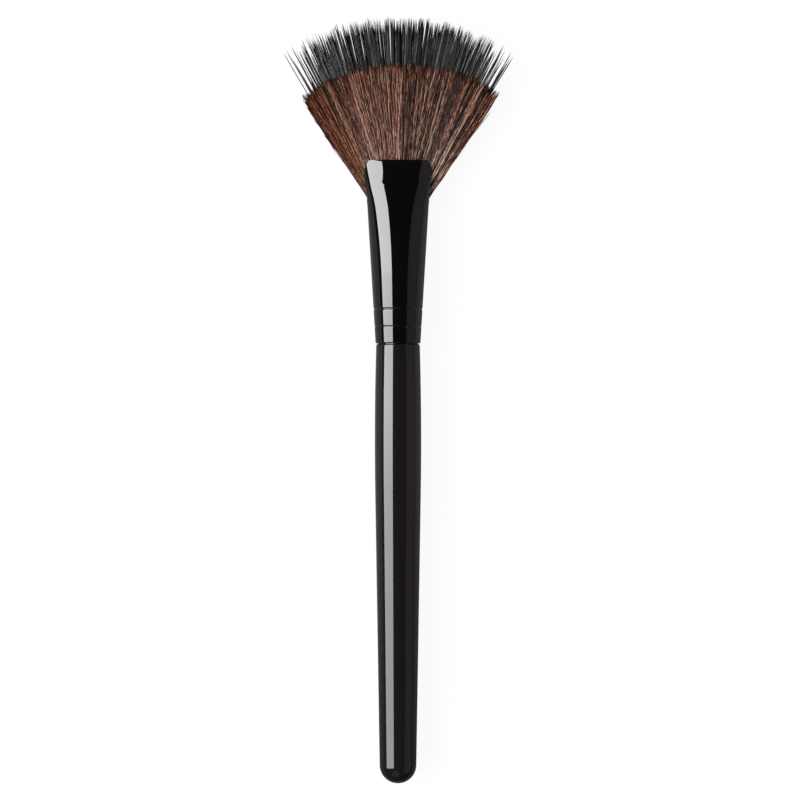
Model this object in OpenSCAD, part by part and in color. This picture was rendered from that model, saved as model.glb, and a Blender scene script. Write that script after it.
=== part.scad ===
// Fan makeup brush, lying on its back with the fan towards +Y and its front face up.
// The origin is the middle of its length and width, on the surface that it lies on.
// Each piece is drawn upright, with the butt end at z = 0 and the front facing -Y, and then laid down.

/* [Handle] */
// Length of the handle that shows, from the butt end to the shoulder
handle_length = 106.5; // [90:0.1:130]
// Diameter at the belly, the thickest place
belly_diameter = 11.27; // [10.6:0.01:13]
// Height of the belly above the butt end
belly_height = 83; // [70:0.5:95]
// Radius of the long arc that the belly follows
belly_arc = 806; // [600:2:1500]
// Radius of the ball at the butt end
butt_radius = 4.45; // [3.5:0.01:5]
// Radius of the edge at the shoulder
shoulder_edge = 0.5; // [0.2:0.05:0.8]
// Diameter of the tenon inside the ferrule
tenon_diameter = 9.6; // [8:0.1:9.9]
// Length of the tenon above the shoulder
tenon_length = 12; // [8:0.5:14]

/* [Ferrule] */
// Length of the ferrule
ferrule_length = 44.4; // [38:0.1:55]
// Outside diameter at the handle end
collar_diameter = 10.9; // [10.6:0.05:13]
// Outside width that the straight taper alone would have at the mouth
taper_width = 16.2; // [14.5:0.05:17.5]
// Outside width of the pressed mouth
mouth_width = 16.9; // [15.5:0.05:19]
// Outside depth of the pressed mouth
mouth_depth = 5.4; // [5:0.1:8]
// How late the depth closes towards the mouth: 1 is a straight slope
press_bend = 1.7; // [1.2:0.1:2.5]
// Squareness of the oval where the pressed band begins: 2 is an ellipse
band_squareness = 2.2; // [2:0.05:2.6]
// Squareness of the oval at the mouth: under 2 its narrow sides are sharper than an ellipse's
mouth_squareness = 1.8; // [1.7:0.05:2.4]
// Thickness of the metal
wall = 0.4; // [0.3:0.05:0.6]
// Height of the round stretch, below where the press begins
round_height = 16; // [14.5:0.5:20]
// Height of the pressed band at the mouth
band_height = 6.5; // [4:0.5:8]
// Height of the stretch at the mouth where the narrow sides flare out
flare_height = 11.4; // [8:0.1:14]
// Height of the stretch at the lip, above the flare, where they run parallel
lip_height = 1.9; // [1:0.1:3]
// Radius of the edge at the handle end
collar_edge = 0.3; // [0.1:0.05:0.4]
// Height of the lower crimp ring above the handle end
low_crimp_height = 4.1; // [2:0.1:5.5]
// Width of the lower crimp ring
low_crimp_width = 0.4; // [0.2:0.05:1]
// Height of the upper crimp ring above the handle end
high_crimp_height = 8.3; // [7:0.1:11]
// Width of the upper crimp ring
high_crimp_width = 0.7; // [0.2:0.05:1.2]
// Depth of the crimp rings
crimp_depth = 0.12; // [0.05:0.01:0.2]

/* [Side notch] */
// Depth of the notch in each narrow side, from the mouth down
notch_depth = 9.9; // [8:0.1:12]
// Width of the notch at its round foot
notch_width = 2.8; // [2.4:0.1:3.6]
// Width of the notch at its neck, where the lip's corners begin
notch_neck = 1.9; // [1.6:0.1:2.4]
// Height of the lip's rounded corners
corner_height = 2.4; // [1.5:0.1:3]
// Width of the lip's rounded corners
corner_width = 0.65; // [0.4:0.05:0.8]

/* [Fan] */
// Half of the angle between the fan's outer edges
fan_half_angle = 34.4; // [28:0.1:36]
// Reach of the long black fibres from the point that the fibres fan out from
long_reach = 53.75; // [48:0.05:62]
// Share of the fan's half angle that the long fibres fill
long_spread = 0.95; // [0.9:0.005:0.96]
// Reach of the short brown fibres from that point
short_reach = 42.9; // [38:0.1:46]
// Half thickness of the tuft where the long fibres end
tip_half = 1.6; // [1:0.1:3]
// Half thickness of the fan's flanks where the short fibres end
flank_half = 1.1; // [0.7:0.1:1.3]
// Share of the tuft's thickness that the long fibres fill
long_share = 0.42; // [0.3:0.01:0.5]

/* [Locks] */
// Locks in the layer of long fibres
long_locks = 76; // [40:1:80]
// Locks in each layer of short fibres
short_locks = 60; // [40:1:64]
// How far the long locks part at their tips
long_part = 4.2; // [2:0.1:6]
// How far the short locks part at their tips
short_part = 1.6; // [0.8:0.1:3]
// How much deeper the long locks part at the fan's two edges
edge_part = 5; // [0:0.1:6]
// Most that a lock falls short of the full reach
unevenness = 1.5; // [0:0.1:2.5]
// Most that a lock stands off its even place, as a share of its width
drift = 0.2; // [0:0.05:0.3]
// Thickness left in the groove between two locks, as a share of the lock's own
groove_share = 0.55; // [0.3:0.05:1]

/* [Fits] */
// Seam between the handle's shoulder and the ferrule
seam = 0.1; // [0.05:0.01:0.3]
// Clearance between resin, tenon and ferrule
glue_gap = 0.05; // [0.02:0.01:0.1]
// Clearance round the bristles in the ferrule and between their layers
bristle_gap = 0.15; // [0.1:0.01:0.25]

/* [Hidden] */
lacquer = [0.09, 0.085, 0.09];
black_metal = [0.05, 0.045, 0.05];
resin = [0.75, 0.62, 0.35];
black_fibre = [0.16, 0.16, 0.17];
brown_fibre = [0.42, 0.23, 0.16];

$fn = 96;
oval_sides = 56; // sides of the pressed part's sections
press_steps = 7; // sections from the round stretch to the pressed band
band_steps = 4; // sections up the pressed band
arc_steps = 12; // straight steps in a drawn arc
belly_step = 3; // length of the steps along the belly
lap = 0.01; // how far the pressed part's lowest section stands inside the round stretch's wall

belly_radius = belly_diameter / 2;
tenon_radius = tenon_diameter / 2;
ferrule_z = handle_length + seam;
band_start = ferrule_length - band_height;
tenon_top = tenon_length - seam; // above the ferrule's handle end
root_z = ferrule_z + round_height;

function lerp(a, b, t) = a + (b - a) * t;

// Point of a circle, its angle measured from the radius direction towards the butt end
function rim_point(centre, radius, angle) = centre + radius * [cos(angle), -sin(angle)];

// The taper is the common tangent of the belly's arc and the ball at the butt end
taper_rise = belly_height - butt_radius;
taper_run = belly_arc - belly_radius;
taper_angle = atan2(taper_rise, taper_run) - acos((belly_arc - butt_radius) / norm([taper_rise, taper_run]));
belly_centre = [belly_radius - belly_arc, belly_height];

function belly_at(z) = belly_centre[0] + sqrt(belly_arc * belly_arc - pow(z - belly_height, 2));

// Outline of the handle from the butt end up to the top of the tenon, as radius and height
function handle_outline() =
    let(
        edge_z = handle_length - shoulder_edge,
        low_z = belly_height - belly_arc * sin(taper_angle),
        steps = ceil((edge_z - low_z) / belly_step),
        edge_radius = belly_at(edge_z) - shoulder_edge
    )
    concat(
        [for (i = [0 : arc_steps])
            rim_point([0, butt_radius], butt_radius, lerp(90, taper_angle, i / arc_steps))],
        [for (i = [0 : steps]) let(z = lerp(low_z, edge_z, i / steps)) [belly_at(z), z]],
        [for (i = [1 : arc_steps]) rim_point([edge_radius, edge_z], shoulder_edge, -90 * i / arc_steps)],
        [
            [tenon_radius, handle_length],
            [tenon_radius, handle_length + tenon_length],
            [0, handle_length + tenon_length]
        ]
    );

module handle() {
    color(lacquer) lay_down() rotate_extrude() polygon(handle_outline());
}

// Outside half width and half depth of the ferrule, at a height above its handle end
function half_width(s) =
    let(
        taper = lerp(collar_diameter, taper_width, s / ferrule_length),
        u = max(0, min(1, (s - ferrule_length + flare_height) / (flare_height - lip_height)))
    )
    lerp(taper, mouth_width, u * u * (3 - 2 * u)) / 2;

function half_depth(s) =
    let(u = max(0, (s - round_height) / (ferrule_length - round_height)))
    lerp(half_width(s), mouth_depth / 2, pow(u, press_bend));

function squareness(s) =
    let(u = max(0, (s - round_height) / (band_start - round_height)))
    s < band_start ? lerp(2, band_squareness, u * u) :
    lerp(band_squareness, mouth_squareness, (s - band_start) / band_height);

// Oval section with half width a and half depth b, as points in the plane at height z
function oval(a, b, n, z) = [
    for (i = [0 : oval_sides - 1])
        let(t = 360 * i / oval_sides, c = cos(t), d = sin(t))
        [sign(c) * a * pow(abs(c), 2 / n), sign(d) * b * pow(abs(d), 2 / n), z]
];

// Heights of the sections of the pressed part
press_heights = concat(
    [for (i = [0 : press_steps]) lerp(round_height, band_start, i / press_steps)],
    [for (i = [1 : band_steps]) lerp(band_start, ferrule_length, i / band_steps)]
);

// Skin of the pressed part: outside for grow = 0, inside for grow = -wall
function skin(grow, stretch) = [
    for (k = [0 : len(press_heights) - 1])
        let(
            s = press_heights[k],
            trim = k == 0 ? (grow == 0 ? -lap : lap) : 0,
            a = (half_width(s) + grow + trim) * stretch,
            b = (half_depth(s) + grow + trim) * stretch
        )
        each oval(a, b, squareness(s), s)
];

module pressed_tube() {
    n = oval_sides;
    m = len(press_heights);
    // Flats between the inner points must stay outside the clear oval, so those points stand a little out
    points = concat(skin(0, 1), skin(-wall, 1 / cos(180 / n)));
    inner = n * m;
    top = n * (m - 1);
    faces = [
        for (i = [0 : n - 1])
            let(j = (i + 1) % n)
            each concat(
                [for (k = [0 : m - 2]) each [
                    [k * n + i, (k + 1) * n + i, (k + 1) * n + j],
                    [k * n + i, (k + 1) * n + j, k * n + j],
                    [inner + k * n + i, inner + (k + 1) * n + j, inner + (k + 1) * n + i],
                    [inner + k * n + i, inner + k * n + j, inner + (k + 1) * n + j]
                ]],
                [
                    [top + i, inner + top + i, inner + top + j],
                    [top + i, inner + top + j, top + j],
                    [i, j, inner + j],
                    [i, inner + j, inner + i]
                ]
            )
    ];
    polyhedron(points, faces);
}

// Outline of a crimp ring: a shallow groove with sloping sides
function crimp(s, width) = [
    for (step = [[-1/2, 0], [-1/4, 1], [1/4, 1], [1/2, 0]])
        [half_width(s + step[0] * width) - step[1] * crimp_depth, s + step[0] * width]
];

// Round stretch of the ferrule: outside with its rolled edge and crimp rings, inside a plain taper
module collar() {
    edge_steps = 6;
    crimps = concat(crimp(low_crimp_height, low_crimp_width), crimp(high_crimp_height, high_crimp_width));
    edge = [for (i = [0 : edge_steps])
        rim_point([half_width(0) - collar_edge, collar_edge], collar_edge, 90 - 90 * i / edge_steps)];
    rise = [for (s = [round_height * 0.75, round_height]) [half_width(s), s]];
    bore = [for (s = [round_height, round_height * 0.5, 0]) [half_width(s) - wall, s]];
    rotate_extrude() polygon(concat(edge, crimps, rise, bore));
}

// Cutter through both narrow sides: a slot with a round foot, which narrows to its neck and then opens in
// the lip's rounded corners. Its outline is drawn for one half, as distance from the middle and height.
module side_notches() {
    over = 1;
    foot = notch_width / 2;
    neck = notch_neck / 2;
    foot_z = ferrule_length - notch_depth + foot;
    corner_z = ferrule_length - corner_height;
    half = concat(
        [for (i = [0 : arc_steps]) rim_point([0, foot_z], foot, 90 - 90 * i / arc_steps)],
        [for (i = [0 : arc_steps]) let(t = 90 * i / arc_steps)
            [neck + corner_width * (1 - cos(t)), corner_z + corner_height * sin(t)]],
        [[neck + corner_width, ferrule_length + over], [0, ferrule_length + over]]
    );
    rotate([90, 0, 90])
        linear_extrude(height = 2 * mouth_width, center = true)
            for (side = [0, 1]) mirror([side, 0]) polygon(half);
}

module ferrule() {
    color(black_metal) lay_down() translate([0, 0, ferrule_z]) {
        collar();
        difference() {
            pressed_tube();
            side_notches();
        }
    }
}

// Set resin: a sleeve round the tenon, closed above it, up to the bristle roots
module resin_plug() {
    sleeve_start = 1.5;
    inside = tenon_radius + glue_gap;
    bore = [for (i = [0 : 4]) let(s = lerp(sleeve_start, round_height, i / 4))
        [half_width(s) - wall - glue_gap, s]];
    color(resin) lay_down() translate([0, 0, ferrule_z])
        rotate_extrude() polygon(concat(
            [[inside, sleeve_start]],
            bore,
            [[0, round_height], [0, tenon_top + glue_gap], [inside, tenon_top + glue_gap]]
        ));
}

// The fibres run up the tube to a neck below the notches, and from there out along rays from the apex.
// Across the tuft, c goes from -1 to 1. Rows 0 and 1 are the root and the neck, later rows lie on arcs.
// The outermost ones leave the tube just above the foot of each notch, which sets the place of the apex.
neck_drop = 2.5;
exit_rise = 0.5;
neck_s = ferrule_length - notch_depth - neck_drop;
exit_s = ferrule_length - notch_depth + exit_rise;
exit_width = half_width(exit_s) - wall - bristle_gap;
first_arc = exit_width / sin(fan_half_angle);
apex_z = ferrule_z + exit_s - exit_width / tan(fan_half_angle);
overall_length = apex_z + long_reach;
mouth_half = mouth_depth / 2 - wall - 2 * bristle_gap;
wing_half = notch_neck / 2 - 2 * bristle_gap;
root_width = half_width(round_height) - wall - bristle_gap;
neck_width = half_width(neck_s) - wall - bristle_gap;
neck_depth = half_depth(neck_s) - wall - bristle_gap;
bulk_spread = 0.6; // share of the fan that comes out between the two lips, the rest are the wings
thinnest = 0.1; // least thickness of a layer inside its outline

function place(c, row, r) =
    row == 0 ? [c * root_width, root_z] :
    row == 1 ? [c * neck_width, ferrule_z + neck_s] :
    [r * sin(c * fan_half_angle), apex_z + r * cos(c * fan_half_angle)];

// Half thickness of the whole tuft
function tuft_half(c, row, r) =
    row == 0 ? root_width * sqrt(max(0, 1 - c * c)) :
    row == 1 ? neck_depth * sqrt(max(0, 1 - c * c)) :
    let(
        n = mouth_squareness,
        in_bulk = max(0, 1 - pow(abs(c) / bulk_spread, n)),
        out = max(0, (abs(c) - bulk_spread) / (1 - bulk_spread)),
        bulk = lerp(mouth_half, tip_half, (r - first_arc) / (long_reach - first_arc)),
        wing = lerp(wing_half, flank_half, (r - first_arc) / (short_reach - first_arc))
    )
    max(bulk * pow(in_bulk, 1 / n), wing * sqrt(max(0, 1 - out * out)));

// Half thickness of the long fibres, which the short ones lie against
function split_half(c, row, r) =
    let(
        middle = row == 0 ? root_width : row == 1 ? neck_depth :
            lerp(mouth_half, tip_half, (r - first_arc) / (long_reach - first_arc)),
        across = c / long_spread
    )
    long_share * middle * max(0, 1 - across * across);

// A closed layer from two grids of points, [column][row], that meet along its sides and its tips.
// Each quad is split so that no triangle has all its corners where the grids meet.
module layer(front, back) {
    rows = len(front[0]);
    columns = len(front);
    last = columns - 1;
    half = rows * columns;
    points = concat([for (column = front) each column], [for (column = back) each column]);
    walls = [
        for (i = [0 : last - 1], k = [0 : rows - 2])
            let(
                a = i * rows + k,
                b = a + rows,
                split = i < last / 2 ?
                    [[a, b, a + 1], [b, b + 1, a + 1]] :
                    [[a, b, b + 1], [a, b + 1, a + 1]]
            )
            each concat(split, [for (t = split) [half + t[0], half + t[2], half + t[1]]])
    ];
    roots = [
        for (i = [0 : last - 1])
            let(a = i * rows, b = a + rows)
            each [if (i > 0) [a, half + a, half + b], if (i < last - 1) [a, half + b, b]]
    ];
    polyhedron(points, concat(walls, roots));
}

// Even columns are the grooves between locks, odd ones their crests. The middle lock has its full reach.
function column_place(i, locks, chance) =
    let(shift = i % 2 == 1 ? 2 * drift * (2 * chance - 1) : 0)
    -1 + (i + shift) / locks;

function lock_end(i, locks, reach, part, short_by) =
    i % 2 == 0 ? reach - part : reach - short_by * unevenness;

module long_bristles() {
    seed = rands(0, 1, 4 * long_locks + 2, 7);
    last = 2 * long_locks;
    covered = 0.88 * short_reach; // up to here the short fibres cover the long ones
    parts = [0, 0.3, 0.6, 0.85, 1];
    columns = [for (i = [0 : last])
        let(
            edge = i == 0 || i == last,
            c = long_spread * column_place(i, long_locks, seed[i]),
            middle = abs(i - long_locks) <= 1 || i <= 1 || i >= last - 1,
            part = long_part * (0.5 + seed[i]) + edge_part * pow(abs(c), 6),
            end = lock_end(i, long_locks, long_reach, part, middle ? 0 : seed[last + i])
        )
        [for (row = [0 : 2 + len(parts)])
            let(
                share = row < 3 ? 0 : parts[row - 3],
                r = row < 3 ? first_arc : lerp(covered, end, share),
                at = place(c, row, r),
                groove = i % 2 == 0 ? lerp(1, groove_share, share) : 1,
                closed = edge || row == 2 + len(parts),
                full = (split_half(c, row, r) - bristle_gap / 2) * groove * (1 - pow(share, 3)),
                half = closed ? 0 : max(thinnest / 2, full)
            )
            [at[0], half, at[1]]
        ]
    ];
    color(black_fibre) lay_down() layer(
        [for (column = columns) [for (p = column) [p[0], -p[1], p[2]]]],
        columns
    );
}

module short_layer(seed_number) {
    seed = rands(0, 1, 4 * short_locks + 2, seed_number);
    last = 2 * short_locks;
    arcs = [for (share = [0, 0.27, 0.52, 0.76]) lerp(first_arc, short_reach, share)];
    parts = [0.55, 1];
    rows = 2 + len(arcs) + len(parts);
    columns = [for (i = [0 : last])
        let(
            edge = i == 0 || i == last,
            c = column_place(i, short_locks, seed[i]),
            end = lock_end(i, short_locks, short_reach, short_part * (0.5 + seed[i]), seed[last + i])
        )
        [for (row = [0 : rows - 1])
            let(
                arc = row - 2,
                share = arc < len(arcs) ? 0 : parts[arc - len(arcs)],
                r = arc < 0 ? first_arc : arc < len(arcs) ? arcs[arc] : lerp(arcs[len(arcs) - 1], end, share),
                at = place(c, row, r),
                under = max(0, split_half(c, row, r)) + bristle_gap / 2,
                groove = i % 2 == 0 && arc > 1 ? groove_share : 1,
                full = max(thinnest, (tuft_half(c, row, r) - under) * groove * (1 - pow(share, 3))),
                thick = edge || row == rows - 1 ? 0 : full
            )
            [at[0], under, thick, at[1]]
        ]
    ];
    layer(
        [for (column = columns) [for (p = column) [p[0], -p[1] - p[2], p[3]]]],
        [for (column = columns) [for (p = column) [p[0], -p[1], p[3]]]]
    );
}

module front_bristles() {
    color(brown_fibre) lay_down() short_layer(21);
}

module back_bristles() {
    color(brown_fibre) lay_down() mirror([0, 1, 0]) short_layer(34);
}

// Lays an upright piece on its back, its length centred on the origin and its thickest place on the surface
press_list = [for (s = [0 : 0.5 : ferrule_length]) half_depth(s)];
axis_height = max(concat(press_list, [belly_radius]));

module lay_down() {
    translate([0, -overall_length / 2, axis_height]) rotate([-90, 0, 0]) children();
}

handle();
ferrule();
resin_plug();
long_bristles();
front_bristles();
back_bristles();
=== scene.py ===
import math
import bpy
import bmesh
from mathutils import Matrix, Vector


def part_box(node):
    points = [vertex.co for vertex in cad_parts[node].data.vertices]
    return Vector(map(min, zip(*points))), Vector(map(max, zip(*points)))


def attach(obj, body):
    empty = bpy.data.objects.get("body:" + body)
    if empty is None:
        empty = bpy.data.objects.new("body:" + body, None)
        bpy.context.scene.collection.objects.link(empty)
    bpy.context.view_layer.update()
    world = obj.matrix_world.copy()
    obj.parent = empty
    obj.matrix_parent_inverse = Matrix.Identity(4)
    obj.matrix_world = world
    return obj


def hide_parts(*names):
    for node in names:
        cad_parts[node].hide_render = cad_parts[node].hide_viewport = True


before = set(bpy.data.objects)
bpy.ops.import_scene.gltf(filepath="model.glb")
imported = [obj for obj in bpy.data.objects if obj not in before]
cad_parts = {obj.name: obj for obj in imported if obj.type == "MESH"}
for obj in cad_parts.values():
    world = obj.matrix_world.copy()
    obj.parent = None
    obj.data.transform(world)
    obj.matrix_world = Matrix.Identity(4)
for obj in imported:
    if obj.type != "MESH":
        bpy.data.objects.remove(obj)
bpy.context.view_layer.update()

mm = 0.001
handleLow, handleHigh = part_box("handle")
ferruleLow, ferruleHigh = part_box("ferrule")
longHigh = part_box("long_bristles")[1]
axisHeight = (handleLow.z + handleHigh.z) / 2       # the brush's axis above the floor
buttY = handleLow.y                                 # end of the handle
collarY = ferruleLow.y                              # where the ferrule starts
lipY = ferruleHigh.y                                # where the ferrule ends
print("frame loaded, axis %.2f mm above the floor" % (axisHeight / mm))


# A wire is one output socket of a node, and sums on wires add the nodes that work them out
class Wire:
    def __init__(self, socket):
        self.socket = socket
        self.tree = socket.id_data

    def calc(self, operation, *values):
        return addNode(self.tree, "ShaderNodeMath", {"operation": operation}, dict(enumerate(values)))

    def __add__(self, other):
        return self.calc("ADD", self, other)

    def __radd__(self, other):
        return self.calc("ADD", other, self)

    def __sub__(self, other):
        return self.calc("SUBTRACT", self, other)

    def __rsub__(self, other):
        return self.calc("SUBTRACT", other, self)

    def __mul__(self, other):
        return self.calc("MULTIPLY", self, other)

    def __rmul__(self, other):
        return self.calc("MULTIPLY", other, self)

    def __truediv__(self, other):
        return self.calc("DIVIDE", self, other)

    def __pow__(self, other):
        return self.calc("POWER", self, other)

    def size(self):
        return self.calc("ABSOLUTE", self)

    def floor(self):
        return self.calc("FLOOR", self)

    def sine(self):
        return self.calc("SINE", self)

    def cosine(self):
        return self.calc("COSINE", self)

    def over(self, other):
        return self.calc("GREATER_THAN", self, other)

    def atLeast(self, other):
        return self.calc("MAXIMUM", self, other)

    def atMost(self, other):
        return self.calc("MINIMUM", self, other)

    def limited(self):
        return self.atLeast(0.0).atMost(1.0)


def findSocket(sockets, key):
    return sockets[key] if isinstance(key, int) else next(s for s in sockets if s.name == key and s.enabled)


# Settings go in first, because some of them decide which sockets a node has
def addNode(tree, kind, settings=None, sockets=None, out=0):
    node = tree.nodes.new(kind)
    for name, value in (settings or {}).items():
        setattr(node, name, value)
    for key, value in (sockets or {}).items():
        if isinstance(value, Wire):
            tree.links.new(value.socket, findSocket(node.inputs, key))
        else:
            findSocket(node.inputs, key).default_value = value
    return Wire(findSocket(node.outputs, out)) if len(node.outputs) else node


def blend(low, high, share):
    return low + (high - low) * share


def addRamp(tree, share, stops):
    wire = addNode(tree, "ShaderNodeValToRGB", None, {"Fac": share}, "Color")
    ramp = wire.socket.node.color_ramp
    while len(ramp.elements) < len(stops):
        ramp.elements.new(1.0)
    for element, (position, colour) in zip(ramp.elements, stops):
        element.position = position
        element.color = (*colour, 1.0)
    return wire


def mixColour(tree, share, first, second, mode="MIX"):
    ends = [c if isinstance(c, Wire) else (*c, 1.0) for c in (first, second)]
    settings = {"data_type": "RGBA", "blend_type": mode}
    return addNode(tree, "ShaderNodeMix", settings, {"Factor": share, "A": ends[0], "B": ends[1]}, "Result")


def newMaterial(name):
    material = bpy.data.materials.new(name)
    material.use_nodes = True
    material.node_tree.nodes.clear()
    return material, material.node_tree


def closeMaterial(tree, surface):
    addNode(tree, "ShaderNodeOutputMaterial", None, {"Surface": surface})


def noise(tree, place, scale, detail=2.0, stretch=(1.0, 1.0, 1.0)):
    stretched = addNode(tree, "ShaderNodeMapping", None, {"Vector": place, "Scale": stretch})
    sockets = {"Vector": stretched, "Scale": scale, "Detail": detail}
    return addNode(tree, "ShaderNodeTexNoise", None, sockets, "Fac")


def objectPlace(tree):
    return addNode(tree, "ShaderNodeTexCoord", None, None, "Object")


print("node helpers ready")

# Picture: the camera looks straight down, with the fan at the top
picture = {
    "side": 800,                # pixels
    "pixel": 0.2424 * mm,       # real size of a pixel at the brush's axis
    "brushX": 398.0,            # middle of the brush in the picture, in pixels
    "brushY": 401.65,
    "lens": 200.0,
    "sensor": 36.0,
}


def makeCamera():
    data = bpy.data.cameras.new("studioCamera")
    data.lens = picture["lens"]
    data.sensor_width = picture["sensor"]
    half = picture["side"] / 2
    distance = picture["side"] * picture["pixel"] * picture["lens"] / picture["sensor"]
    camera = bpy.data.objects.new("studioCamera", data)
    camera.location = (
        (half - picture["brushX"]) * picture["pixel"],
        (picture["brushY"] - half) * picture["pixel"],
        axisHeight + distance,
    )
    bpy.context.collection.objects.link(camera)
    bpy.context.scene.camera = camera


makeCamera()

# Studio: pale floor, soft daylight from all round, a key from the left, and cards that only gloss sees
studio = {
    "floorHalf": 2.0,
    "floorColour": 0.42,
    "floorDark": 0.02,              # of the floor that gloss sees beyond the butt end
    "floorFade": (-0.125, -0.015),  # along the brush, from that dark part to the pale part
    "floorCurve": 0.7,
    "floorGlow": 1.04,              # brightness of the lit floor for the camera
    "shadowDepth": 0.12,            # share of it that falls into shadow
    "skyLight": 0.42,
    "skyGloss": 0.05,               # brightness of the sky that gloss sees
    "cardFade": (-0.14, 0.012),     # along the brush, from a card's dim part to its bright part
    "cardCurve": 1.8,
    "reach": 0.6,                   # distance of lamps and cards from the brush
}
stripCard = {"from": -75.4, "to": -26.6, "start": -0.275, "end": 0.62, "bright": 14.4, "dim": 8.9}
wallCard = {"from": 42.6, "to": 88.0, "start": -0.6, "end": 0.7, "bright": 0.36, "dim": 0.34}
backCard = {"low": 6.0, "high": 20.0, "left": -0.45, "right": 0.45, "bright": 3.0}
endCard = {"low": 14.0, "high": 54.0, "left": -0.3, "right": 0.06, "bright": 0.35}
keyLamp = {"angle": -48.0, "width": 0.5, "length": 0.9, "watts": 4.0}


# Share from 0 to 1 of a fade along the brush, between the fade's two places
def fadeShare(tree, fade, curve):
    along = addNode(tree, "ShaderNodeSeparateXYZ", None, {"Vector": objectPlace(tree)}, "Y")
    return ((along - fade[0]) / (fade[1] - fade[0])).limited() ** curve


def makeFloor():
    half, depth = studio["floorHalf"], studio["shadowDepth"]
    corners = [(-half, -half, 0), (half, -half, 0), (half, half, 0), (-half, half, 0)]
    mesh = bpy.data.meshes.new("floor")
    mesh.from_pydata(corners, [], [(0, 1, 2, 3)])
    floor = bpy.data.objects.new("floor", mesh)
    bpy.context.collection.objects.link(floor)
    material, tree = newMaterial("floorPaper")
    share = fadeShare(tree, studio["floorFade"], studio["floorCurve"])
    tint = mixColour(tree, share, [studio["floorDark"]] * 3, [studio["floorColour"]] * 3)
    paper = addNode(tree, "ShaderNodeBsdfDiffuse", None, {"Color": tint})
    shaded = addNode(tree, "ShaderNodeBsdfDiffuse", None, {"Color": (depth, depth, depth, 1.0)})
    glow = addNode(tree, "ShaderNodeEmission", None, {"Strength": studio["floorGlow"] - depth})
    seen = addNode(tree, "ShaderNodeAddShader", None, {0: shaded, 1: glow})
    cameraRay = addNode(tree, "ShaderNodeLightPath", None, None, "Is Camera Ray")
    closeMaterial(tree, addNode(tree, "ShaderNodeMixShader", None, {0: cameraRay, 1: paper, 2: seen}))
    mesh.materials.append(material)


def makeSky():
    world = bpy.data.worlds.new("studioSky")
    world.use_nodes = True
    tree = world.node_tree
    tree.nodes.clear()
    cameraRay = addNode(tree, "ShaderNodeLightPath", None, None, "Is Camera Ray")
    glossyRay = addNode(tree, "ShaderNodeLightPath", None, None, "Is Glossy Ray")
    strength = blend(blend(studio["skyLight"], studio["skyGloss"], glossyRay), 1.0, cameraRay)
    sky = addNode(tree, "ShaderNodeBackground", None, {"Color": (1.0, 1.0, 1.0, 1.0), "Strength": strength})
    addNode(tree, "ShaderNodeOutputWorld", None, {"Surface": sky})
    bpy.context.scene.world = world


# A glowing card that only shows in reflections, bright at the fan's end and dim at the handle's
def makeCard(name, corners, bright, dim):
    mesh = bpy.data.meshes.new(name)
    mesh.from_pydata(corners, [], [(0, 1, 2, 3)])
    card = bpy.data.objects.new(name, mesh)
    bpy.context.collection.objects.link(card)
    material, tree = newMaterial(name)
    share = fadeShare(tree, studio["cardFade"], studio["cardCurve"])
    closeMaterial(tree, addNode(tree, "ShaderNodeEmission", None, {"Strength": blend(dim, bright, share)}))
    mesh.materials.append(material)
    for ray in ("camera", "diffuse", "transmission", "volume_scatter", "shadow"):
        setattr(card, "visible_" + ray, False)


# A card that lies along the brush, between two angles in degrees from straight above
def cardCorners(card):
    edge = studio["reach"] / math.cos(math.radians(card["to"] - card["from"]) / 2)
    sides = [(edge * math.sin(a), axisHeight + edge * math.cos(a)) for a in (
        math.radians(card["from"]), math.radians(card["to"]))]
    return [(sides[0][0], card["start"], sides[0][1]), (sides[1][0], card["start"], sides[1][1]),
            (sides[1][0], card["end"], sides[1][1]), (sides[0][0], card["end"], sides[0][1])]


# A card that stands across the brush's line, between two heights in degrees above the floor
def crossCorners(card, start, side):
    rows = [(start + side * studio["reach"] * math.cos(a), studio["reach"] * math.sin(a)) for a in (
        math.radians(card["low"]), math.radians(card["high"]))]
    left, right = card["left"], card["right"]
    return [(left, *rows[0]), (right, *rows[0]), (right, *rows[1]), (left, *rows[1])]


def makeKey():
    data = bpy.data.lights.new("keyLamp", "AREA")
    data.shape = "RECTANGLE"
    data.size, data.size_y = keyLamp["width"], keyLamp["length"]
    data.energy = keyLamp["watts"]
    lamp = bpy.data.objects.new("keyLamp", data)
    angle = math.radians(keyLamp["angle"])
    lamp.location = (studio["reach"] * math.sin(angle), 0.0, axisHeight + studio["reach"] * math.cos(angle))
    lamp.rotation_euler = (0.0, angle, 0.0)
    lamp.visible_glossy = False
    lamp.visible_camera = False
    bpy.context.collection.objects.link(lamp)


makeFloor()
makeSky()
makeCard("stripCard", cardCorners(stripCard), stripCard["bright"], stripCard["dim"])
makeCard("wallCard", cardCorners(wallCard), wallCard["bright"], wallCard["dim"])
makeCard("backCard", crossCorners(backCard, lipY, 1), backCard["bright"], backCard["bright"])
makeCard("endCard", crossCorners(endCard, buttY, -1), endCard["bright"], endCard["bright"])
makeKey()
print("camera, floor and light set up")


def meshPiece(name, points, faces, material, sharpAngle=35.0):
    mesh = bpy.data.meshes.new(name)
    mesh.from_pydata(points, [], faces)
    mesh.validate()
    mesh.shade_smooth()
    mesh.set_sharp_from_angle(angle=math.radians(sharpAngle))
    mesh.materials.append(material)
    piece = bpy.data.objects.new(name, mesh)
    bpy.context.collection.objects.link(piece)
    return piece


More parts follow.
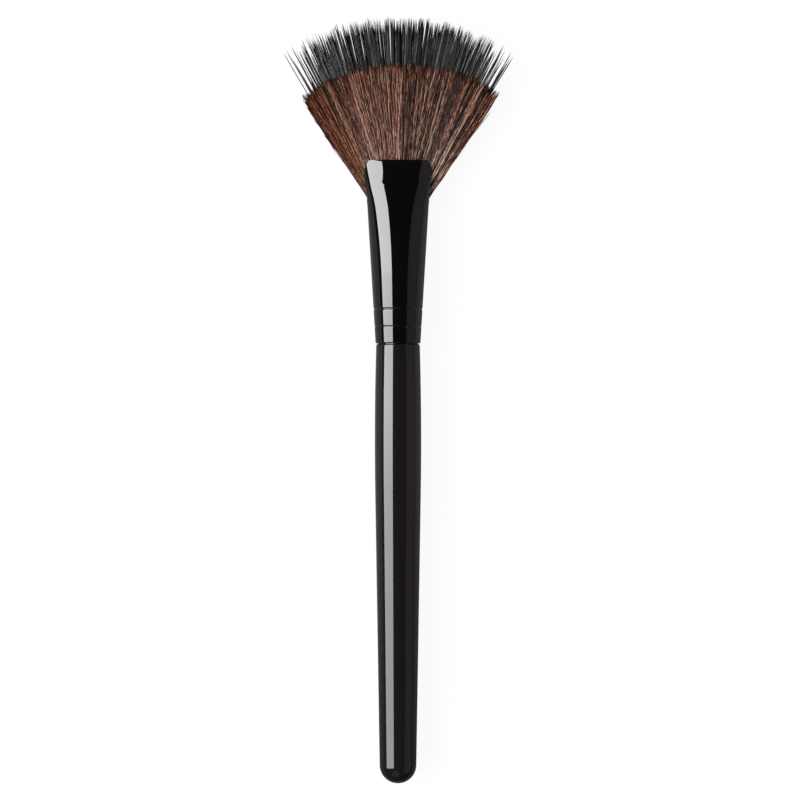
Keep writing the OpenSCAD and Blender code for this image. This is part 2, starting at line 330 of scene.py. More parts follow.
# Lacquer: many thin black coats, very slightly uneven
def lacquerMaterial():
    material, tree = newMaterial("glossLacquer")
    place = objectPlace(tree)
    cloud = noise(tree, place, 160.0)
    ripple = noise(tree, place, 420.0, 1.0, (1.0, 0.35, 1.0))
    colour = mixColour(tree, cloud, (0.0098, 0.0072, 0.0078), (0.0125, 0.0093, 0.01))
    bump = addNode(tree, "ShaderNodeBump", None, {"Strength": 0.012, "Distance": 0.1 * mm, "Height": ripple})
    shader = addNode(tree, "ShaderNodeBsdfPrincipled", None, {
        "Base Color": colour, "Roughness": 0.045 + cloud * 0.03, "IOR": 1.44, "Normal": bump})
    closeMaterial(tree, shader)
    return material


# Drawn tube under a baked black coat: faint lines along its length
def blackMetalMaterial():
    material, tree = newMaterial("bakedBlack")
    place = objectPlace(tree)
    drawn = noise(tree, place, 900.0, 2.0, (1.0, 0.02, 1.0))
    cloud = noise(tree, place, 220.0)
    colour = mixColour(tree, cloud, (0.0012, 0.0006, 0.0008), (0.002, 0.0011, 0.0014))
    bump = addNode(tree, "ShaderNodeBump", None, {"Strength": 0.015, "Distance": 0.05 * mm, "Height": drawn})
    shader = addNode(tree, "ShaderNodeBsdfPrincipled", None, {
        "Base Color": colour, "Roughness": 0.03 + cloud * 0.02, "IOR": 1.5,
        "Specular Tint": (1.0, 0.965, 0.985, 1.0), "Normal": bump})
    closeMaterial(tree, shader)
    return material


# Cast resin, amber with paler clouds
def resinMaterial():
    material, tree = newMaterial("setResin")
    cloud = noise(tree, objectPlace(tree), 350.0, 3.0)
    colour = mixColour(tree, cloud, (0.42, 0.25, 0.06), (0.62, 0.43, 0.14))
    shader = addNode(tree, "ShaderNodeBsdfPrincipled", None, {
        "Base Color": colour, "Roughness": 0.28 + cloud * 0.12, "IOR": 1.52})
    closeMaterial(tree, shader)
    return material


# Handle: a spun outline, from the ball at the butt end over the long belly to the hidden tenon
handleForm = {
    "bellyHeight": 83.0 * mm,       # of the thickest place, above the butt end
    "bellyArc": 806.0 * mm,
    "buttRadius": 4.45 * mm,
    "seam": 0.1 * mm,               # between the shoulder and the ferrule
    "shoulderEdge": 0.5 * mm,
    "tenonRadius": 4.8 * mm,
    "tenonEdge": 0.3 * mm,
    "sides": 128,
    "pitch": 2.0 * mm,              # length of the steps along taper and belly
    "ballSteps": 20,
    "shoulderSteps": 8,
    "tenonSteps": 4,
}


def arcPoints(centre, radius, start, end, steps):
    angles = [math.radians(blend(start, end, i / steps)) for i in range(steps + 1)]
    return [(centre[0] + radius * math.cos(a), centre[1] + radius * math.sin(a)) for a in angles]


def handleOutline():
    form = handleForm
    bellyRadius = (handleHigh.x - handleLow.x) / 2
    shoulder = collarY - form["seam"] - buttY
    tenonEnd = handleHigh.y - buttY
    rise, run = form["bellyHeight"] - form["buttRadius"], form["bellyArc"] - bellyRadius
    spread = math.acos((form["bellyArc"] - form["buttRadius"]) / math.hypot(rise, run))
    taper = math.atan2(rise, run) - spread      # angle of the straight part that touches ball and belly
    arcCentre = bellyRadius - form["bellyArc"]

    def bellyAt(height):
        return arcCentre + math.sqrt(form["bellyArc"] ** 2 - (height - form["bellyHeight"]) ** 2)

    ballEnd = -math.degrees(taper)
    ball = arcPoints((0.0, form["buttRadius"]), form["buttRadius"], -90.0, ballEnd, form["ballSteps"])
    bellyStart = form["bellyHeight"] - form["bellyArc"] * math.sin(taper)
    bellyEnd = shoulder - form["shoulderEdge"]
    taperSteps = int((bellyStart - ball[-1][1]) / form["pitch"])
    bellySteps = int((bellyEnd - bellyStart) / form["pitch"])
    startRadius = bellyAt(bellyStart)
    shares = [i / taperSteps for i in range(1, taperSteps)]
    straight = [(blend(ball[-1][0], startRadius, u), blend(ball[-1][1], bellyStart, u)) for u in shares]
    heights = [blend(bellyStart, bellyEnd, i / bellySteps) for i in range(bellySteps)]
    belly = [(bellyAt(height), height) for height in heights]
    edgeCentre = (bellyAt(bellyEnd) - form["shoulderEdge"], bellyEnd)
    edge = arcPoints(edgeCentre, form["shoulderEdge"], 0.0, 90.0, form["shoulderSteps"])
    tenonCentre = (form["tenonRadius"] - form["tenonEdge"], tenonEnd - form["tenonEdge"])
    tenon = arcPoints(tenonCentre, form["tenonEdge"], 0.0, 90.0, form["tenonSteps"])
    return ball[1:] + straight + belly + edge + [(form["tenonRadius"], shoulder)] + tenon


def makeHandle(material):
    outline, sides = handleOutline(), handleForm["sides"]
    turns = [2 * math.pi * i / sides for i in range(sides)]
    points = [(r * math.cos(a), buttY + h, axisHeight - r * math.sin(a)) for r, h in outline for a in turns]
    points += [(0.0, buttY, axisHeight), (0.0, handleHigh.y, axisHeight)]
    last = (len(outline) - 1) * sides           # first point of the last ring
    buttPole, tenonPole = last + sides, last + sides + 1
    faces = []
    for i in range(sides):
        j = (i + 1) % sides
        faces.append((buttPole, i, j))
        for row in range(0, last, sides):
            faces.append((row + i, row + sides + i, row + sides + j, row + j))
        faces.append((tenonPole, last + j, last + i))
    piece = meshPiece("turned_handle", points, faces, material)
    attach(piece, "root")
    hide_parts("handle")


# Ferrule: round at the collar and pressed flat towards the lip, with a notch in each narrow side
ferruleForm = {
    "collarWidth": 10.9 * mm,
    "taperWidth": 16.2 * mm,        # that the straight taper alone would have at the lip
    "mouthWidth": 16.9 * mm,
    "mouthDepth": 5.4 * mm,
    "pressBend": 1.7,
    "bandSquareness": 2.2,          # 2 is an ellipse
    "mouthSquareness": 1.8,
    "wall": 0.4 * mm,
    "roundHeight": 16.0 * mm,
    "bandHeight": 6.5 * mm,
    "flareHeight": 11.4 * mm,
    "lipHeight": 1.9 * mm,
    "collarEdge": 0.3 * mm,
    "crimps": ((4.1 * mm, 0.5 * mm, 0.13 * mm), (8.3 * mm, 0.7 * mm, 0.16 * mm)),   # height, width, depth
    "notchDepth": 9.9 * mm,
    "notchHalf": 1.4 * mm,
    "neckHalf": 0.95 * mm,
    "cornerHeight": 2.4 * mm,
    "cornerWidth": 0.65 * mm,
    "rimEdge": 0.09 * mm,
}
# Shallow dent above the press's crease
dent = {"depth": 0.15 * mm, "half": 5.6 * mm, "ramp": 0.95 * mm, "fade": 1.4 * mm}
# Rows of the ferrule's mesh, and the steps between them
ferruleRows = {
    "collar": (0.4, 0.5, 0.6, 1.2, 2.2, 3.1, 5.0, 6.0, 7.0, 9.4),                   # heights in mm
    "crimp": (-0.8, -0.5, -0.38, -0.25, -0.12, 0, 0.12, 0.25, 0.38, 0.5, 0.8),      # in widths of a crimp
    "tube": (10.4 * mm, 33.0 * mm, 24),     # start, end and steps
    "edgeSteps": 5,
    "footSteps": 4,
    "notchSteps": 4,
    "dentSteps": 6,
    "lipSteps": 14,
    "lipCrowding": 1.4,                     # rows lie closer together at the dent than at the lip
}
ferruleLength = lipY - collarY
bandStart = ferruleLength - ferruleForm["bandHeight"]
# Height of the centre of the notch's round foot
footHeight = ferruleLength - ferruleForm["notchDepth"] + ferruleForm["notchHalf"]
cornerStart = ferruleLength - ferruleForm["cornerHeight"]
quarterTurn = math.pi / 2


def limited(value):
    return max(0.0, min(1.0, value))


def halfWidth(height):
    form = ferruleForm
    taper = blend(form["collarWidth"], form["taperWidth"], height / ferruleLength)
    u = limited((height - ferruleLength + form["flareHeight"]) / (form["flareHeight"] - form["lipHeight"]))
    return blend(taper, form["mouthWidth"], u * u * (3 - 2 * u)) / 2


def halfDepth(height):
    start = ferruleForm["roundHeight"]
    u = limited((height - start) / (ferruleLength - start))
    return blend(halfWidth(height), ferruleForm["mouthDepth"] / 2, u ** ferruleForm["pressBend"])


def squareness(height):
    start, band = ferruleForm["roundHeight"], ferruleForm["bandSquareness"]
    if height < bandStart:
        return blend(2.0, band, limited((height - start) / (bandStart - start)) ** 2)
    return blend(band, ferruleForm["mouthSquareness"], (height - bandStart) / ferruleForm["bandHeight"])


def dentAt(height, x):
    u = limited((height - bandStart) / dent["ramp"])
    rise = u * u * (3 - 2 * u)
    fall = math.exp(-max(0.0, height - bandStart - dent["ramp"]) / dent["fade"])
    return dent["depth"] * rise * fall * limited(1 - (x / dent["half"]) ** 2) ** 2


def edgeTurn(height, depth):
    return math.asin((depth / halfDepth(height)) ** (squareness(height) / 2))


def ferrulePoint(height, turn, grow):
    a, b, power = halfWidth(height) + grow, halfDepth(height) + grow, 2 / squareness(height)
    c, d = math.cos(turn), math.sin(turn)
    x = math.copysign(a * abs(c) ** power, c)
    z = math.copysign(b * abs(d) ** power - dentAt(height, x), d)
    return (x, collarY + height, axisHeight + z)


def crimpAt(height):
    for middle, width, depth in ferruleForm["crimps"]:
        u = abs(height - middle) / (width / 2)
        if u < 1:
            return -depth * math.cos(u * math.pi / 2) ** 2
    return 0.0


# Turn of the notch's straight edge, which runs from the foot's full width to the neck under the lip's corners
def notchEdge(height):
    height = max(height, footHeight)
    share = limited((height - footHeight) / (cornerStart - footHeight))
    return edgeTurn(height, blend(ferruleForm["notchHalf"], ferruleForm["neckHalf"], share))


# Columns of a quarter, from the narrow side to the middle of the face. The first few end at the notch's foot,
# the next few at the lip's round corner and the rest at its straight part. A column beside the notch keeps
# its share of the way from the notch's edge to the middle.
def quarterColumns():
    form, footColumns, cornerColumns, flatColumns = ferruleForm, 7, 10, 22
    columns = []
    for i in range(footColumns):
        angle = quarterTurn * i / footColumns
        end = footHeight - form["notchHalf"] * math.cos(angle)
        columns.append({"turn": edgeTurn(end, form["notchHalf"] * math.sin(angle)), "foot": end})
    for i in range(cornerColumns + flatColumns + 1):
        angle = quarterTurn * min(1.0, i / cornerColumns)
        top = cornerStart + form["cornerHeight"] * math.sin(angle)
        depth = form["neckHalf"] + form["cornerWidth"] * (1 - math.cos(angle))
        turn = blend(edgeTurn(top, depth), quarterTurn, max(0, i - cornerColumns) / flatColumns)
        share = (turn - notchEdge(top)) / (quarterTurn - notchEdge(top))
        columns.append({"share": share, "foot": footHeight, "top": top})
    return columns


def columnTurn(column, height):
    if "share" not in column:
        return column["turn"]
    return blend(notchEdge(height), quarterTurn, column["share"])


def ferruleMesh():
    quarter = quarterColumns()
    halfRing = [(c, 0) for c in quarter] + [(c, 1) for c in reversed(quarter[:-1])]
    ring = [(c, mirrored, 1) for c, mirrored in halfRing]
    ring += [(c, mirrored, -1) for c, mirrored in reversed(halfRing[1:-1])]
    count = len(ring)

    def point(entry, height, grow=0.0):
        column, mirrored, side = entry
        turn = columnTurn(column, height)
        return ferrulePoint(height, side * (math.pi - turn if mirrored else turn), grow)

    radius = ferruleForm["collarEdge"]
    edgeSteps, footSteps = ferruleRows["edgeSteps"], ferruleRows["footSteps"]
    rows = []
    for i in range(edgeSteps, -1, -1):              # the rolled edge at the handle
        angle = quarterTurn * i / edgeSteps
        height, grow = radius * (1 - math.sin(angle)), radius * (math.cos(angle) - 1)
        rows.append([point(e, height, grow) for e in ring])
    heights = [h * mm for h in ferruleRows["collar"]]
    for middle, width, depth in ferruleForm["crimps"]:
        heights += [middle + width * share for share in ferruleRows["crimp"]]
    start, end, steps = ferruleRows["tube"]
    heights += [blend(start, end, i / steps) for i in range(steps + 1)]
    heights.sort()
    rows += [[point(e, h, crimpAt(h)) for e in ring] for h in heights]
    for i in range(1, footSteps + 1):               # rows that bend round the notch's foot
        rows.append([point(e, blend(heights[-1], e[0]["foot"], i / footSteps)) for e in ring])
    points, faces = [p for row in rows for p in row], []
    for r in range(len(rows) - 1):
        for i in range(count):
            j = (i + 1) % count
            faces.append((r * count + i, r * count + j, (r + 1) * count + j, (r + 1) * count + i))

    lastRow = (len(rows) - 1) * count
    notchSteps, dentSteps, lipSteps = (ferruleRows[key] for key in ("notchSteps", "dentSteps", "lipSteps"))
    levels = [blend(footHeight, bandStart, i / notchSteps) for i in range(1, notchSteps + 1)]
    levels += [bandStart + dent["ramp"] * i / dentSteps for i in range(1, dentSteps + 1)]
    shares = [(i / lipSteps) ** ferruleRows["lipCrowding"] for i in range(1, lipSteps + 1)]
    upper = [i for i in range(count) if "share" in ring[i][0]]
    for side in (1, -1):                            # the front face, then the back face
        wide = [i for i in upper if ring[i][2] == side or i in (0, count // 2)]
        if side < 0:
            wide.reverse()
        lower = [lastRow + i for i in wide]
        steps = [[h] * len(wide) for h in levels]
        steps += [[blend(levels[-1], ring[i][0]["top"], share) for i in wide] for share in shares]
        for level in steps:
            start = len(points)
            points += [point(ring[i], h) for i, h in zip(wide, level)]
            higher = list(range(start, start + len(wide)))
            for k in range(len(wide) - 1):
                quad = (lower[k], lower[k + 1], higher[k + 1], higher[k])
                faces.append(quad if side > 0 else quad[::-1])
            lower = higher
    return points, faces


def makeFerrule(material):
    points, faces = ferruleMesh()
    piece = meshPiece("pressed_ferrule", points, faces, material, 60.0)
    work = bmesh.new()
    work.from_mesh(piece.data)
    bmesh.ops.recalc_face_normals(work, faces=work.faces)
    work.to_mesh(piece.data)
    work.free()
    wall = piece.modifiers.new("wall", "SOLIDIFY")
    wall.thickness, wall.offset, wall.use_even_offset = ferruleForm["wall"], -1.0, True
    rim = piece.modifiers.new("rim", "BEVEL")
    rim.width, rim.segments = ferruleForm["rimEdge"], 3
    rim.limit_method, rim.angle_limit = "ANGLE", math.radians(50)
    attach(piece, "root")
    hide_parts("ferrule")


makeHandle(lacquerMaterial())
print("handle made")
makeFerrule(blackMetalMaterial())
print("ferrule made")

# Fan: what all three layers of fibres share
fan = {
    "halfAngle": math.radians(34.4),    # between the middle and an outer edge
    "longReach": 53.75 * mm,            # of the tips from the point that the fibres fan out from
    "clear": 0.15 * mm,                 # gap between fibres and metal
    "exitRise": 0.5 * mm,               # the outermost fibres leave the tube this far above the notch's foot
    "tipHalf": 1.6 * mm,                # half thickness of the tuft at the tips
    "flankHalf": 1.1 * mm,              # and of its flanks where the short fibres end
    "shortReach": 42.9 * mm,
    "bulkSpread": 0.6,                  # share of the fan that comes out between the two lips
    "longShare": 0.42,                  # share of the thickness that the long fibres fill
    "longSpread": 0.95,
}
exitHeight = ferruleLength - ferruleForm["notchDepth"] + fan["exitRise"]
exitWidth = halfWidth(exitHeight) - ferruleForm["wall"] - fan["clear"]
firstArc = exitWidth / math.sin(fan["halfAngle"])
apexY = longHigh.y - fan["longReach"]
mouthHalf = ferruleForm["mouthDepth"] / 2 - ferruleForm["wall"] - 2 * fan["clear"]
wingHalf = ferruleForm["neckHalf"] - 2 * fan["clear"]
rootY = collarY + ferruleForm["roundHeight"]
rootWidth = halfWidth(ferruleForm["roundHeight"]) - ferruleForm["wall"] - 2 * fan["clear"]

fibrePoints = 9                         # along each fibre
# How fibres lie among one another, alike in all layers
weave = {
    "strandJitter": 2.5,        # to either side, in half widths of a strand
    "streakJitter": 0.6,        # and of a streak
    "edgePower": 4.0,           # locks part from one another only near the fan's edges
    "closeMost": 0.85,          # share by which the strands of a lock draw together at most
    "looseRoot": 1.2,           # a fibre's looseness beside its strand near the ferrule
    "looseFall": 0.6,           # and how much less it is at the tip
    "crossAt": 0.3,             # strands cross at this share of their length
    "leanAt": 0.2,              # and locks at this one
    "lockLean": 0.5,            # of what strands cross by
    "depthJitter": 0.05,
    "phaseEnd": 6.28,           # radians, about a full turn
    "waveSpan": (7.0, 17.0),    # radians of a strand's wave from end to end
    "thickness": (0.75, 1.15),  # of the layer's radius
    "tipPower": 16.0,           # the radius falls only near the tip
}
# Random draws of the tree. Each has its own seed, by its place in this list.
draws = (
    "streakPlace", "strandPlace", "loose", "cross", "lockShort", "strandShort", "fibreShort", "depth",
    "face", "depthJitter", "phase", "waveSpan", "tone", "grain", "streakTone", "thickness", "pull", "lean",
    "flankShort", "sink", "lockTone", "edgePull",
)
brownLayer = {
    "slot": "brown_fibre",
    "Fibres": 3950, "Strand Size": 2, "Streaks": 230, "Locks": 74, "Radius": 0.082 * mm,
    "Reach": 43.7 * mm, "Lean": 0.8 * mm, "Lock Short": 0.9 * mm, "Strand Short": 1.8 * mm,
    "Fibre Short": 1.0 * mm, "Flank Short": 14.0 * mm, "Flank Power": 24.0, "Spread": 0.985, "Stray": 0.02,
    "Stray Power": 40.0, "Pull": 0.3, "Edge Pull": 0.3, "Loose": 0.003, "Cross": 0.045, "Sink": 0.25,
    "Wave": 0.17 * mm, "Tip Taper": 0.6, "Tip Spacing": 1.9, "Shift": 0.009,
}
layers = {
    "long_fibres": {
        "node": "long_bristles", "slot": "black_fibre",
        "Fibres": 3950, "Strand Size": 6, "Streaks": 230, "Locks": 70, "Seed": 7, "Radius": 0.064 * mm,
        "Reach": 55.0 * mm, "Lean": 0.0, "Lock Short": 1.1 * mm, "Strand Short": 3.2 * mm,
        "Fibre Short": 2.2 * mm, "Flank Short": 18.0 * mm, "Flank Power": 5.0, "Spread": 0.87, "Stray": 0.085,
        "Stray Power": 50.0, "Pull": 0.15, "Edge Pull": 0.9, "Loose": 0.006, "Cross": 0.014, "Sink": 0.3,
        "Wave": 0.06 * mm, "Tip Taper": 0.85, "Tip Spacing": 1.5, "Shift": 0.0125,
        "Inner": -1.0, "Outer Tuft": 0.0, "Outer Split": 1.0, "Both Faces": 1.0,
    },
    "front_fibres": {
        "node": "front_bristles", "Seed": 21, **brownLayer,
        "Inner": 1.0, "Outer Tuft": 1.0, "Outer Split": 0.0, "Both Faces": 0.0,
    },
    "back_fibres": {
        "node": "back_bristles", "Seed": 34, **brownLayer,
        "Inner": -1.0, "Outer Tuft": -1.0, "Outer Split": 0.0, "Both Faces": 0.0,
    },
}


# What the parts of the fibre tree share: the layer's inputs, the strand, streak and lock of each fibre, and
# how far along the fibre each of its points lies
class FibreWork:
    def __init__(self, tree, given, fibre):
        self.tree = tree
        self.given = given
        self.fibre = fibre
        self.strand = (fibre / given["Strand Size"]).floor()
        self.strands = given["Fibres"] / given["Strand Size"]
        self.order = (self.strand + 0.5) / self.strands         # from 0 at the left edge to 1 at the right
        self.streak = (self.order * given["Streaks"]).floor()
        self.lock = (self.order * given["Locks"]).floor()
        step = addNode(tree, "GeometryNodeSplineParameter", None, None, "Index")
        self.evenly = ((step - 1.0) / float(fibrePoints - 2)).atLeast(0.0)
        self.along = 1.0 - (1.0 - self.evenly) ** given["Tip Spacing"]      # points crowd towards the tip
        self.atRoot = (1.0 - step).atLeast(0.0)

    def draw(self, key, name, low=0.0, high=1.0):
        seed = self.given["Seed"] + float(draws.index(name) + 1)
        sockets = {2: low, 3: high, "ID": key, "Seed": seed}
        return addNode(self.tree, "FunctionNodeRandomValue", {"data_type": "FLOAT"}, sockets, 1)

    def jitter(self, key, name, size):
        return self.draw(key, name, -size, size)


# Half thickness of the whole tuft, at a share c across the fan
def tuftHalf(c, middle, ray):
    power = ferruleForm["mouthSquareness"]
    inBulk = (1.0 - (c.size() / fan["bulkSpread"]) ** power).atLeast(0.0) ** (1 / power)
    out = ((c.size() - fan["bulkSpread"]) / (1 - fan["bulkSpread"])).atLeast(0.0)
    wing = blend(wingHalf, fan["flankHalf"], (ray - firstArc) / (fan["shortReach"] - firstArc))
    return (middle * inBulk).atLeast(wing * (1.0 - out * out).atLeast(0.0) ** 0.5)


# Half thickness of the long fibres in the tuft, at a share c across the fan
def splitHalf(c, middle):
    across = c / fan["longSpread"]
    return middle * fan["longShare"] * (1.0 - across * across).atLeast(0.0)


# Place across the fan, from -1 to 1, before and after fibres cross and stray. Streaks draw together towards
# their tips, and so do the locks near the fan's edges. The outermost strands stand apart from the rest.
def placeAcross(work):
    given, along = work.given, work.along
    beside = work.jitter(work.strand, "strandPlace", weave["strandJitter"])
    strandPlace = 2.0 * work.order - 1.0 + beside / work.strands
    beside = work.jitter(work.streak, "streakPlace", weave["streakJitter"])
    streakPlace = (2.0 * work.streak + 1.0 + beside) / given["Streaks"] - 1.0
    pull = work.draw(work.streak, "pull") * given["Pull"]
    pulled = blend(strandPlace, streakPlace, along * along * pull)
    lockPlace = (2.0 * work.lock + 1.0) / given["Locks"] - 1.0
    part = given["Edge Pull"] * work.draw(work.lock, "edgePull") * strandPlace.size() ** weave["edgePower"]
    pulled = blend(pulled, lockPlace, (along * part).atMost(weave["closeMost"]))
    loose = work.jitter(work.fibre, "loose", 1.0) * given["Loose"]
    loose = loose * (weave["looseRoot"] - along * weave["looseFall"])
    cross = work.jitter(work.strand, "cross", 1.0) * given["Cross"] * (along - weave["crossAt"])
    lean = work.jitter(work.lock, "lean", 1.0) * given["Cross"] * weave["lockLean"]
    lean = lean * (along - weave["leanAt"])
    wideFan = given["Spread"] + given["Stray"] * (pulled.size() ** given["Stray Power"])
    return pulled, (pulled + loose + cross + lean) * wideFan + given["Shift"]


# How far along its ray each point lies, from the point that the fibres fan out from
def rayLength(work, pulled):
    given = work.given
    flankShort = given["Flank Short"] * work.draw(work.strand, "flankShort") ** 2.0
    short = (given["Lock Short"] * work.draw(work.lock, "lockShort")
             + given["Strand Short"] * work.draw(work.strand, "strandShort") ** 2.0
             + given["Fibre Short"] * work.draw(work.fibre, "fibreShort") ** 2.0
             + flankShort * (pulled.size() ** given["Flank Power"]))
    return blend(firstArc, given["Reach"] + given["Lean"] * pulled - short, work.along)


# Depth through the tuft, more fibres near the faces that show, with some streaks sunk between others
def depthThrough(work, c, ray):
    given = work.given
    draw = work.draw(work.strand, "depth")
    sunk = 1.0 - given["Sink"] * work.draw(work.streak, "sink") ** 2.0
    outward = (1.0 - draw * draw) * sunk
    face = work.draw(work.strand, "face").over(0.5) * 2.0 - 1.0
    share = blend(outward, 0.5 + 0.5 * face * outward, given["Both Faces"])
    share = share + work.jitter(work.fibre, "depthJitter", weave["depthJitter"])

    def depthAt(middle, whole):
        inner = splitHalf(c, middle) * given["Inner"]
        outer = whole * given["Outer Tuft"] + splitHalf(c, middle) * given["Outer Split"]
        return blend(inner, outer, share)

    middle = blend(mouthHalf, fan["tipHalf"], (ray - firstArc) / (fan["longReach"] - firstArc))
    rootHalf = rootWidth * (1.0 - c * c).atLeast(0.0) ** 0.5
    return blend(depthAt(middle, tuftHalf(c, middle, ray)), depthAt(rootWidth, rootHalf), work.atRoot)


# Place of each point. The first stands in the resin and the others on the fibre's ray.
def pointPlace(work, c, ray):
    phase = work.draw(work.strand, "phase", 0.0, weave["phaseEnd"])
    span = work.draw(work.strand, "waveSpan", *weave["waveSpan"])
    wave = (work.along * span + phase).sine() * work.given["Wave"] * (1.0 - work.atRoot)
    angle = c * fan["halfAngle"]
    x = blend(ray * angle.sine(), c * rootWidth, work.atRoot) + wave
    y = blend(ray * angle.cosine() + apexY, rootY, work.atRoot)
    z = depthThrough(work, c, ray) + axisHeight
    return addNode(work.tree, "ShaderNodeCombineXYZ", None, {"X": x, "Y": y, "Z": z})


# Values that each point keeps, for the shaders and for the thickness
def pointValues(work, c):
    loss = work.given["Tip Taper"] * work.evenly ** weave["tipPower"]
    radius = work.given["Radius"] * work.draw(work.fibre, "thickness", *weave["thickness"])
    return {
        "along": work.along,
        "across": c,
        "tone": work.draw(work.strand, "tone"),
        "grain": work.draw(work.fibre, "grain"),
        "streakTone": work.draw(work.streak, "streakTone"),
        "lockTone": work.draw(work.lock, "lockTone"),
        "thick": radius * (1.0 - loss),
    }


def fibreTree(material):
    tree = bpy.data.node_groups.new("fibreLayer", "GeometryNodeTree")
    tree.interface.new_socket(name="Geometry", in_out="OUTPUT", socket_type="NodeSocketGeometry")
    for name, value in layers["long_fibres"].items():
        if isinstance(value, (int, float)):
            kind = "NodeSocketInt" if isinstance(value, int) else "NodeSocketFloat"
            tree.interface.new_socket(name=name, in_out="INPUT", socket_type=kind)
    entry = tree.nodes.new("NodeGroupInput")
    given = {s.name: Wire(s) for s in entry.outputs if s.name}

    line = addNode(tree, "GeometryNodeCurvePrimitiveLine", None, {"End": (0.0, 0.01, 0.0)})
    line = addNode(tree, "GeometryNodeResampleCurve", {"mode": "COUNT"},
                   {"Curve": line, "Count": fibrePoints})
    shape = addNode(tree, "GeometryNodeDuplicateElements", {"domain": "SPLINE"},
                    {"Geometry": line, "Amount": given["Fibres"]})
    work = FibreWork(tree, given, Wire(shape.socket.node.outputs["Duplicate Index"]))
    pulled, c = placeAcross(work)
    placed = pointPlace(work, c, rayLength(work, pulled))
    for name, value in pointValues(work, c).items():
        shape = addNode(tree, "GeometryNodeStoreNamedAttribute", {"data_type": "FLOAT", "domain": "POINT"},
                        {"Geometry": shape, "Name": name, "Value": value})
    shape = addNode(tree, "GeometryNodeSetPosition", None, {"Geometry": shape, "Position": placed})
    ring = addNode(tree, "GeometryNodeCurvePrimitiveCircle", {"mode": "RADIUS"},
                   {"Resolution": 3, "Radius": 1.0})        # a fibre has three sides
    scale = addNode(tree, "GeometryNodeInputNamedAttribute", {"data_type": "FLOAT"},
                    {"Name": "thick"}, "Attribute")
    shape = addNode(tree, "GeometryNodeCurveToMesh", None,
                    {"Curve": shape, "Profile Curve": ring, "Scale": scale, "Fill Caps": True})
    shape = addNode(tree, "GeometryNodeSetShadeSmooth", None, {"Geometry": shape})
    shape = addNode(tree, "GeometryNodeRealizeInstances", None, {"Geometry": shape})
    shape = addNode(tree, "GeometryNodeSetMaterial", None, {"Geometry": shape, "Material": material})
    leave = tree.nodes.new("NodeGroupOutput")
    tree.links.new(shape.socket, leave.inputs["Geometry"])
    return tree


# Runs a tree with its inputs and keeps the result as a plain mesh
def plainPiece(name, tree, inputs):
    mesh = bpy.data.meshes.new(name)
    maker = bpy.data.objects.new(name, mesh)
    bpy.context.collection.objects.link(maker)
    modifier = maker.modifiers.new("fibres", "NODES")
    modifier.node_group = tree
    for item in tree.interface.items_tree:
        if item.item_type == "SOCKET" and item.in_out == "INPUT":
            modifier[item.identifier] = inputs[item.name]
    graph = bpy.context.evaluated_depsgraph_get()
    made = bpy.data.meshes.new_from_object(maker.evaluated_get(graph))
    maker.modifiers.clear()
    maker.data = made
    bpy.data.meshes.remove(mesh)
    made.name = name
    return maker


def fibreValue(tree, name):
    return addNode(tree, "ShaderNodeAttribute", {"attribute_name": name}, None, "Fac")


# Share from 0 to 1 of each fibre's shade: by lock, streak, strand and fibre, and patchy along it with painted
# glints
def shadeShare(tree, weights):
    lockTone, streakTone, tone, grain, along = (
        fibreValue(tree, name) for name in ("lockTone", "streakTone", "tone", "grain", "along"))
    spread = {"X": tone * 37.0, "Y": along * 20.0, "Z": grain * 29.0}       # apart enough to be unlike
    spot = addNode(tree, "ShaderNodeCombineXYZ", None, spread)
    toneAndGlintPatch = noise(tree, spot, 1.0, 1.0)
    parts = (lockTone, streakTone, tone, grain, toneAndGlintPatch)
    return 0.5 + sum((part - 0.5) * weight for part, weight in zip(parts, weights))


brownShade = {
    "weights": (0.08, 0.25, 0.8, 0.55, 1.35),   # of lock, streak, strand, fibre and the place along it
    "leftStart": -0.5,                          # place across the fan where the left flank begins
    "leftRise": 3.0,                            # how fast it grows from there
    "rightStart": 0.3,
    "rightRise": 2.5,
    "leftTint": (0.7, 0.465, 0.28),
    # The dark streaks are dark fibres and painted shade in the gaps between strands
    "strandAndGapShadeDepth": 1.3,                         # how much darker the dark streaks on the right flank are
    "leftStrandAndGapShade": 0.6,                         # share of that on the left
}
blackWeights = (0.2, 0.4, 0.8, 0.5, 1.0)
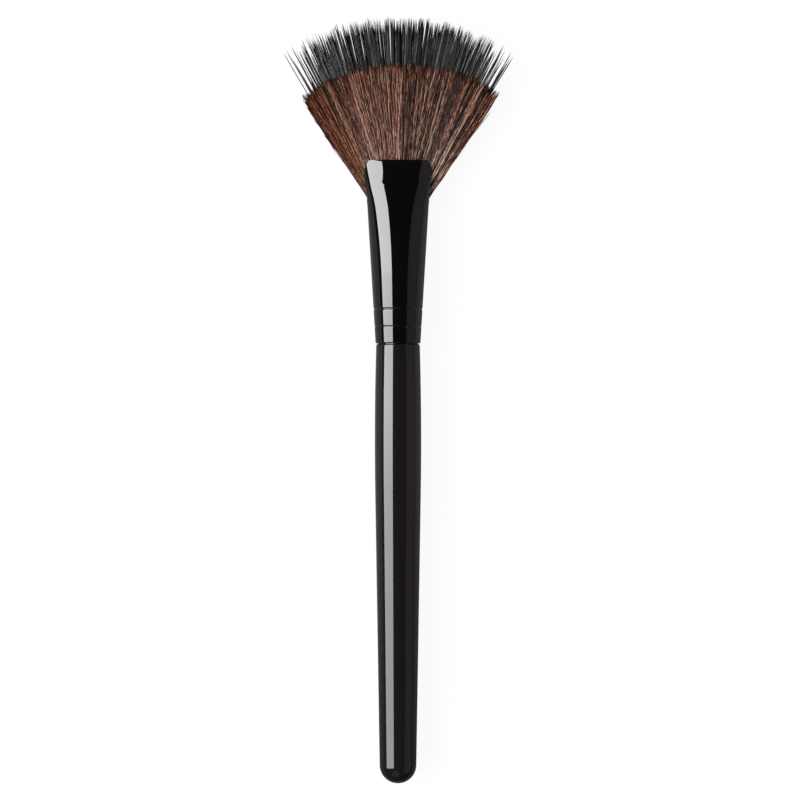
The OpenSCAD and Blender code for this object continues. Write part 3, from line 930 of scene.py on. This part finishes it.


# Reddish brown, with pale fibres and painted highlights among near black ones. The left flank is darker and
# warmer.
def brownMaterial():
    material, tree = newMaterial("brownFibre")
    grain, along, across, streakTone = (fibreValue(tree, name) for name in (
        "grain", "along", "across", "streakTone"))
    leftFlank = ((brownShade["leftStart"] - across) * brownShade["leftRise"]).limited()
    rightFlank = ((across - brownShade["rightStart"]) * brownShade["rightRise"]).limited()
    flanks = rightFlank + leftFlank * brownShade["leftStrandAndGapShade"]
    # Streaks darkened on the flanks, most on the right, away from the key: dark fibres and painted shade in
    # the gaps between strands
    darkStrandsAndGapShade = flanks * (0.5 - streakTone).atLeast(0.0) * brownShade["strandAndGapShadeDepth"]
    shade = shadeShare(tree, brownShade["weights"]) - darkStrandsAndGapShade
    # The ramp's palest stops paint the fibres' highlights, and its near black stops paint shade in the gaps
    # between strands as well as dark fibres
    colour = addRamp(tree, shade, (
        (0.0, (0.0015, 0.001, 0.001)), (0.26, (0.008, 0.005, 0.0045)), (0.42, (0.05, 0.02, 0.013)),
        (0.6, (0.165, 0.06, 0.034)), (0.78, (0.34, 0.145, 0.088)), (1.0, (0.66, 0.42, 0.31))))
    nearRoot = (1.0 - along * 1.7).atLeast(0.0)
    nearTip = ((along - 0.7) * 3.3).atLeast(0.0)
    colour = addNode(tree, "ShaderNodeHueSaturation", None, {
        "Hue": 0.491 + grain * 0.012, "Saturation": 1.28 - grain * 0.46 - nearRoot * 0.26 + nearTip * 0.1,
        "Value": 1.0 + nearRoot * 0.24 - nearTip * 0.2 + rightFlank * 0.12, "Color": colour}, "Color")
    colour = mixColour(tree, leftFlank, colour, brownShade["leftTint"], "MULTIPLY")
    shader = addNode(tree, "ShaderNodeBsdfPrincipled", None, {
        "Base Color": colour, "Roughness": 0.36 + grain * 0.14, "IOR": 1.45, "Specular IOR Level": 0.07})
    closeMaterial(tree, shader)
    return material


# Black, with a few dark grey fibres, and patches of painted glint along them
def blackMaterial():
    material, tree = newMaterial("blackFibre")
    grain = fibreValue(tree, "grain")
    colour = addRamp(tree, shadeShare(tree, blackWeights), (
        (0.0, (0.0012, 0.0012, 0.0013)), (0.35, (0.006, 0.0058, 0.006)), (0.6, (0.019, 0.018, 0.0185)),
        (0.82, (0.06, 0.058, 0.06)), (1.0, (0.15, 0.148, 0.15))))
    shader = addNode(tree, "ShaderNodeBsdfPrincipled", None, {
        "Base Color": colour, "Roughness": 0.38 + grain * 0.15, "IOR": 1.45, "Specular IOR Level": 0.15})
    closeMaterial(tree, shader)
    return material


def makeFan():
    trees = {"brown_fibre": fibreTree(brownMaterial()), "black_fibre": fibreTree(blackMaterial())}
    for name, layer in layers.items():
        piece = plainPiece(name, trees[layer["slot"]], layer)
        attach(piece, "root")
        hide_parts(layer["node"])
        print("%s: %d triangles" % (name, sum(len(p.vertices) - 2 for p in piece.data.polygons)))


makeFan()

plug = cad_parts["resin_plug"]
plug.data.materials.clear()
plug.data.materials.append(resinMaterial())

bpy.context.scene.view_settings.view_transform = "Standard"
